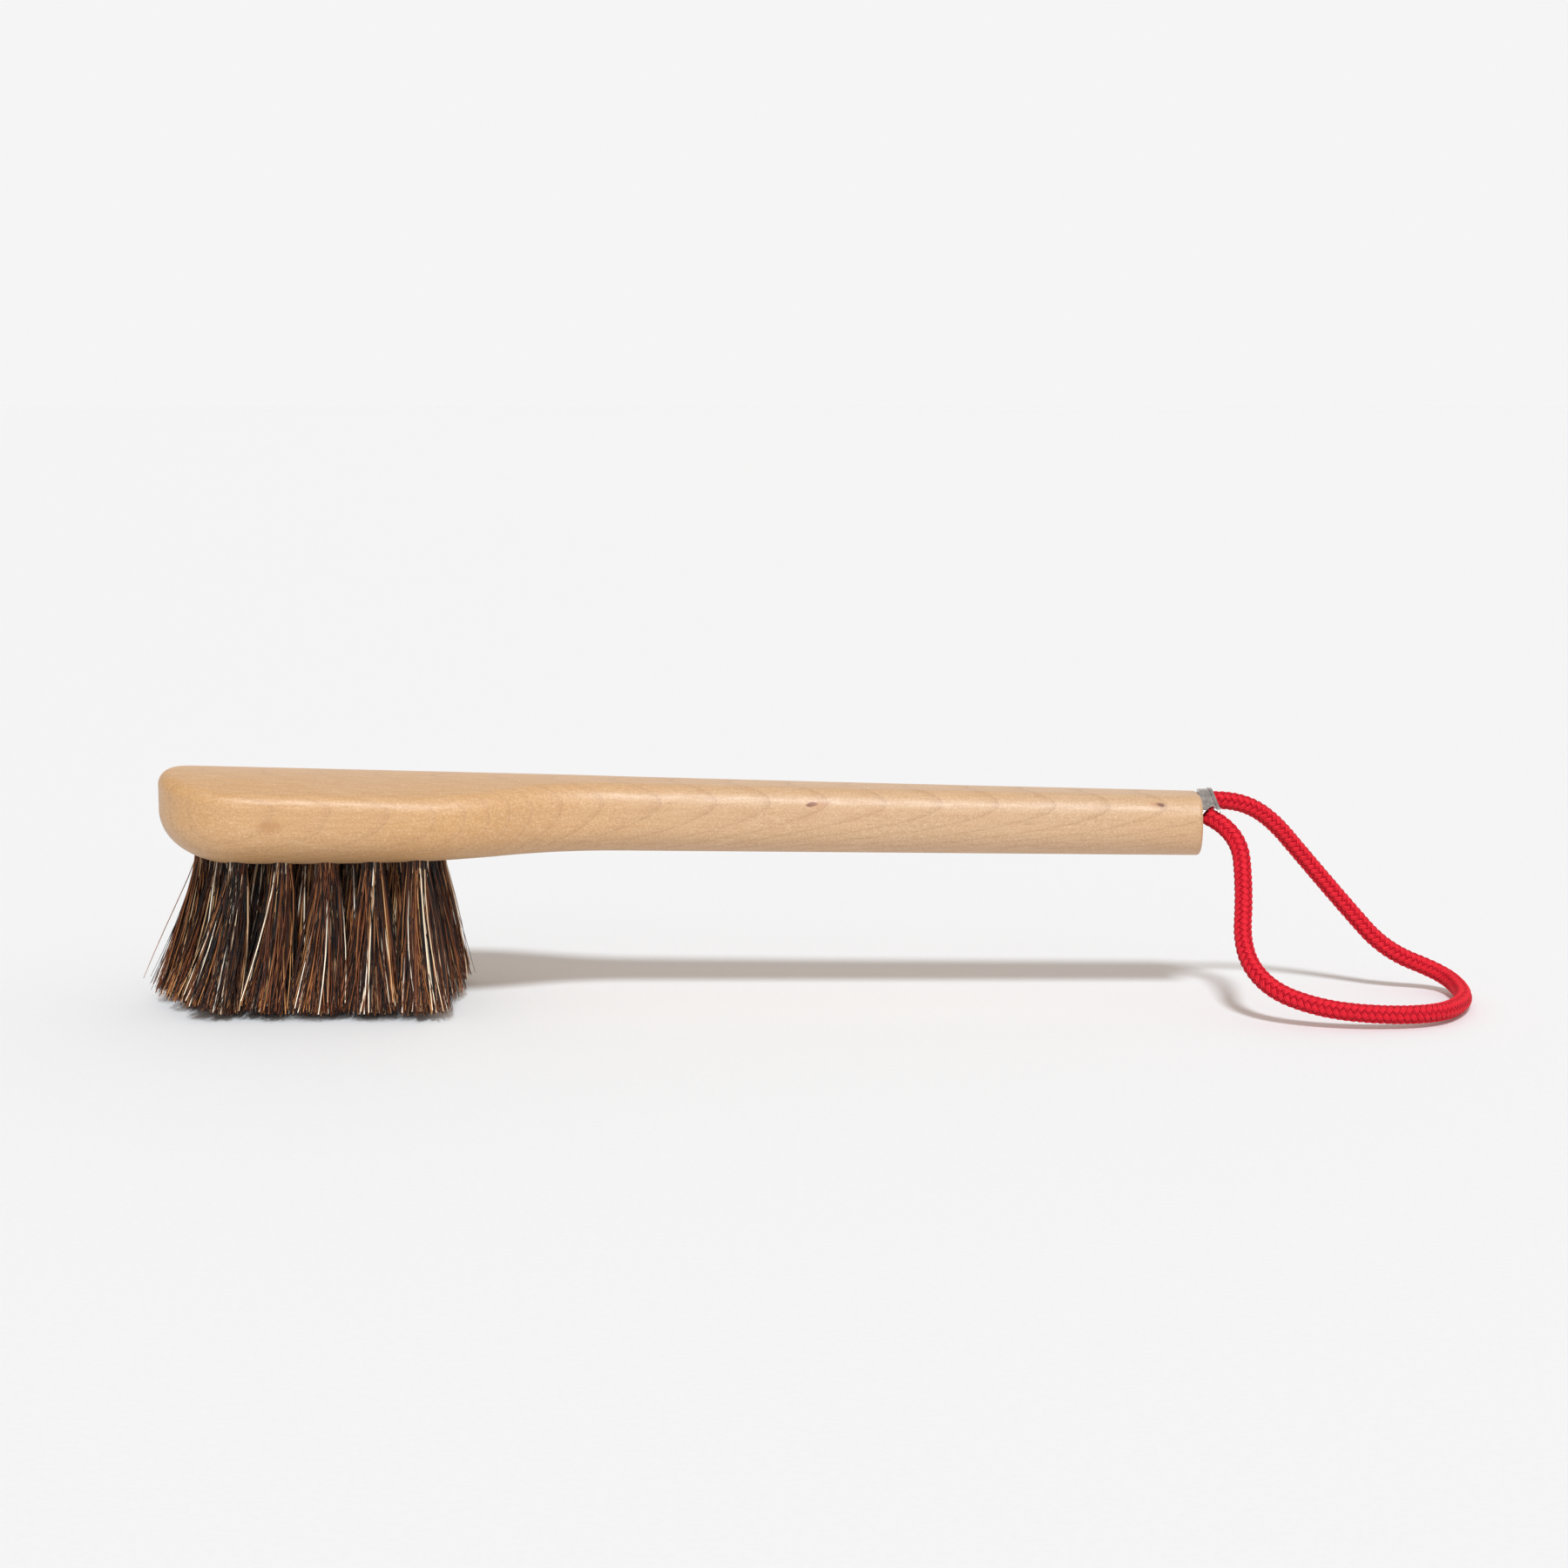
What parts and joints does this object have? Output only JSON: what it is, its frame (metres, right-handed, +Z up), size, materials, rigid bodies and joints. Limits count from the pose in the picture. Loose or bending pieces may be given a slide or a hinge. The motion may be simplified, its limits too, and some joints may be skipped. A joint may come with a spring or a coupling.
{
  "type": "clothes brush",
  "caption": "Long-handled clothes brush: oval wooden head filled with horsehair tufts, slender rounded handle and a braided hanging cord.",
  "frame": {"origin": "on the surface the brush stands on, below the middle of the brush's length (cord not counted) and on its middle plane", "axes": "+X from the nose of the head to the end of the handle, +Y to the far side, +Z up from the hair tips to the back of the brush"},
  "size_m": [0.2939, 0.0585, 0.0523],
  "materials": {
    "wood": "semi-gloss clear lacquer",
    "hair": "mixed brown and black horsehair",
    "anchor_wire": "drawn flat wire",
    "nickel": "bright nickel plate",
    "nail_steel": "plain steel",
    "red_cord": "round braid"
  },
  "bodies": {
    "root": {"wooden_block": "wood", "tuft_01": "hair", "tuft_02": "hair", "tuft_03": "hair", "tuft_04": "hair", "tuft_05": "hair", "tuft_06": "hair", "tuft_07": "hair", "tuft_08": "hair", "tuft_09": "hair", "tuft_10": "hair", "tuft_11": "hair", "tuft_12": "hair", "tuft_13": "hair", "tuft_14": "hair", "tuft_15": "hair", "tuft_16": "hair", "tuft_17": "hair", "tuft_18": "hair", "tuft_19": "hair", "tuft_20": "hair", "tuft_21": "hair", "tuft_22": "hair", "tuft_23": "hair", "tuft_24": "hair", "tuft_25": "hair", "tuft_26": "hair", "tuft_anchors": "anchor_wire", "cord_cup": "nickel", "cup_nail": "nail_steel", "cord_loop": "red_cord"}
  },
  "joints": []
}
